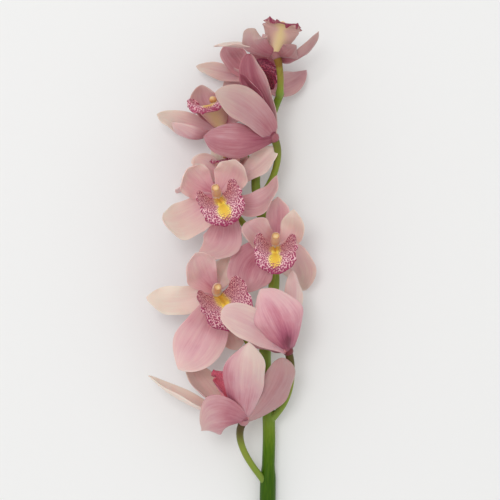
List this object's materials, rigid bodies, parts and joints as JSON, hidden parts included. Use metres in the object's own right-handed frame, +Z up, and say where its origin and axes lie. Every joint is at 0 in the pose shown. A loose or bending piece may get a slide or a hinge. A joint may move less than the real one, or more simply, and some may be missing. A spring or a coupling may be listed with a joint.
{
  "type": "orchid stem",
  "caption": "Cut stem of pink cymbidium orchid in full bloom, with ruffled, spotted lips, lying on its back on a table.",
  "frame": {"origin": "on the table, under the middle of the bounding box", "axes": "+Y up the spike towards its top bloom, +Z up from the table, +X to the right seen from above"},
  "size_m": [0.1209, 0.389, 0.0791],
  "materials": {
    "stem": "smooth green plant stem, slightly waxy",
    "tepals": "soft pink petal, cream towards the tips, faintly veined",
    "lip": "pale pink petal spotted magenta, yellow in the middle, dark rim",
    "column": "smooth waxy flesh, pale pink",
    "cap": "smooth waxy pale yellow"
  },
  "bodies": {
    "root": {"stem": "stem", "bloom_01_tepals": "tepals", "bloom_01_lip": "lip", "bloom_01_column": "column", "bloom_01_cap": "cap", "bloom_02_tepals": "tepals", "bloom_02_lip": "lip", "bloom_02_column": "column", "bloom_02_cap": "cap", "bloom_03_tepals": "tepals", "bloom_03_lip": "lip", "bloom_03_column": "column", "bloom_03_cap": "cap", "bloom_04_tepals": "tepals", "bloom_04_lip": "lip", "bloom_04_column": "column", "bloom_04_cap": "cap", "bloom_05_tepals": "tepals", "bloom_05_lip": "lip", "bloom_05_column": "column", "bloom_05_cap": "cap", "bloom_06_tepals": "tepals", "bloom_06_lip": "lip", "bloom_06_column": "column", "bloom_06_cap": "cap", "bloom_07_tepals": "tepals", "bloom_07_lip": "lip", "bloom_07_column": "column", "bloom_07_cap": "cap", "bloom_08_tepals": "tepals", "bloom_08_lip": "lip", "bloom_08_column": "column", "bloom_08_cap": "cap", "bloom_09_tepals": "tepals", "bloom_09_lip": "lip", "bloom_09_column": "column", "bloom_09_cap": "cap", "bloom_10_tepals": "tepals", "bloom_10_lip": "lip", "bloom_10_column": "column", "bloom_10_cap": "cap"}
  },
  "joints": []
}
